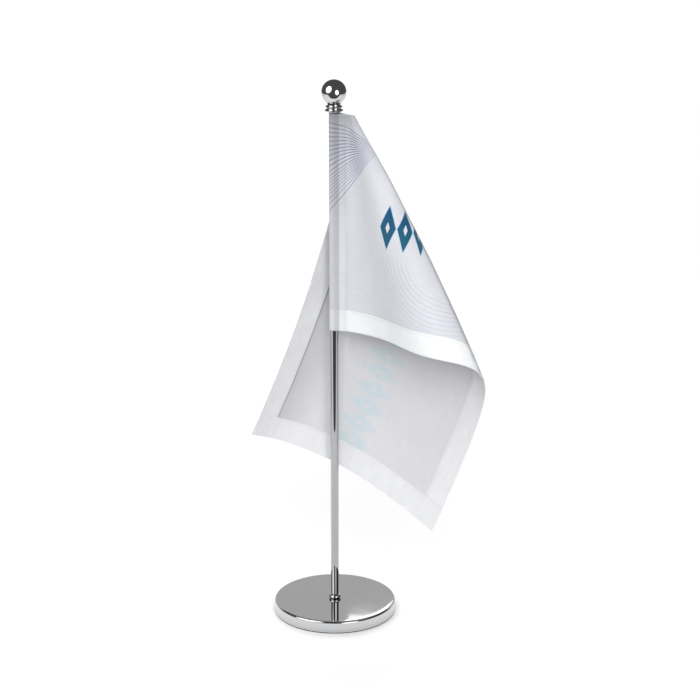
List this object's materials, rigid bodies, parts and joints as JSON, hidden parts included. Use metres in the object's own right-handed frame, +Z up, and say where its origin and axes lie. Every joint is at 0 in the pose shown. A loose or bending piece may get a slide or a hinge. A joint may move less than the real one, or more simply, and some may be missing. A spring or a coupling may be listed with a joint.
{
  "type": "desk flag stand",
  "caption": "Desk flag stand with a round weighted chrome base, a slim screwed-in pole, a ball finial and a small white printed flag that hangs folded from its sleeve.",
  "frame": {"origin": "centre of the underside of the base's pad, where the stand meets the desk", "axes": "+Z up along the pole, +X to the side that the flag hangs to, -Y to the front"},
  "size_m": [0.1582, 0.1046, 0.3792],
  "materials": {
    "chrome": "bright polished chrome plate",
    "steel": "turned and zinc plated",
    "pad": "fine closed-cell foam",
    "cloth": "thin white printed polyester with a faint satin sheen",
    "thread": "white sewing thread"
  },
  "bodies": {
    "base": {"base_cover": "chrome", "base_weight": "steel", "base_pad": "pad"},
    "foot": {"foot_ring": "chrome"},
    "pole": {"pole_tube": "chrome", "foot_stud": "steel", "top_insert": "steel"},
    "collar": {"finial_collar": "chrome"},
    "finial": {"finial_ball": "chrome", "finial_stud": "steel"},
    "flag": {"flag_cloth": "cloth", "flag_sleeve": "cloth", "sleeve_end_tack": "cloth", "seam_thread": "thread", "top_hem_thread": "thread", "bottom_hem_thread": "thread", "fly_hem_thread": "thread"}
  },
  "joints": [
    {"name": "pole_lift", "type": "slide", "parent": "base", "child": "foot", "axis": [0, 0, 1], "range_m": [0, 0.0049]},
    {"name": "pole_unscrew", "type": "hinge", "parent": "foot", "child": "pole", "pos_m": [0, 0, 0.0119], "axis": [0, 0, 1], "range_deg": [0, 2520]},
    {"name": "finial_lift", "type": "slide", "parent": "pole", "child": "collar", "axis": [0, 0, 1], "range_m": [0, 0.006]},
    {"name": "finial_unscrew", "type": "hinge", "parent": "collar", "child": "finial", "pos_m": [0, 0, 0.3635], "axis": [0, 0, 1], "range_deg": [0, 4320]},
    {"name": "flag_turn", "type": "hinge", "parent": "pole", "child": "flag", "pos_m": [0, 0, 0.357], "axis": [0, 0, 1], "continuous": true}
  ],
  "couplings": [
    {"joint": "pole_unscrew", "follows": "pole_lift", "rad_per_m": 8975.9},
    {"joint": "finial_unscrew", "follows": "finial_lift", "rad_per_m": 12566}
  ]
}
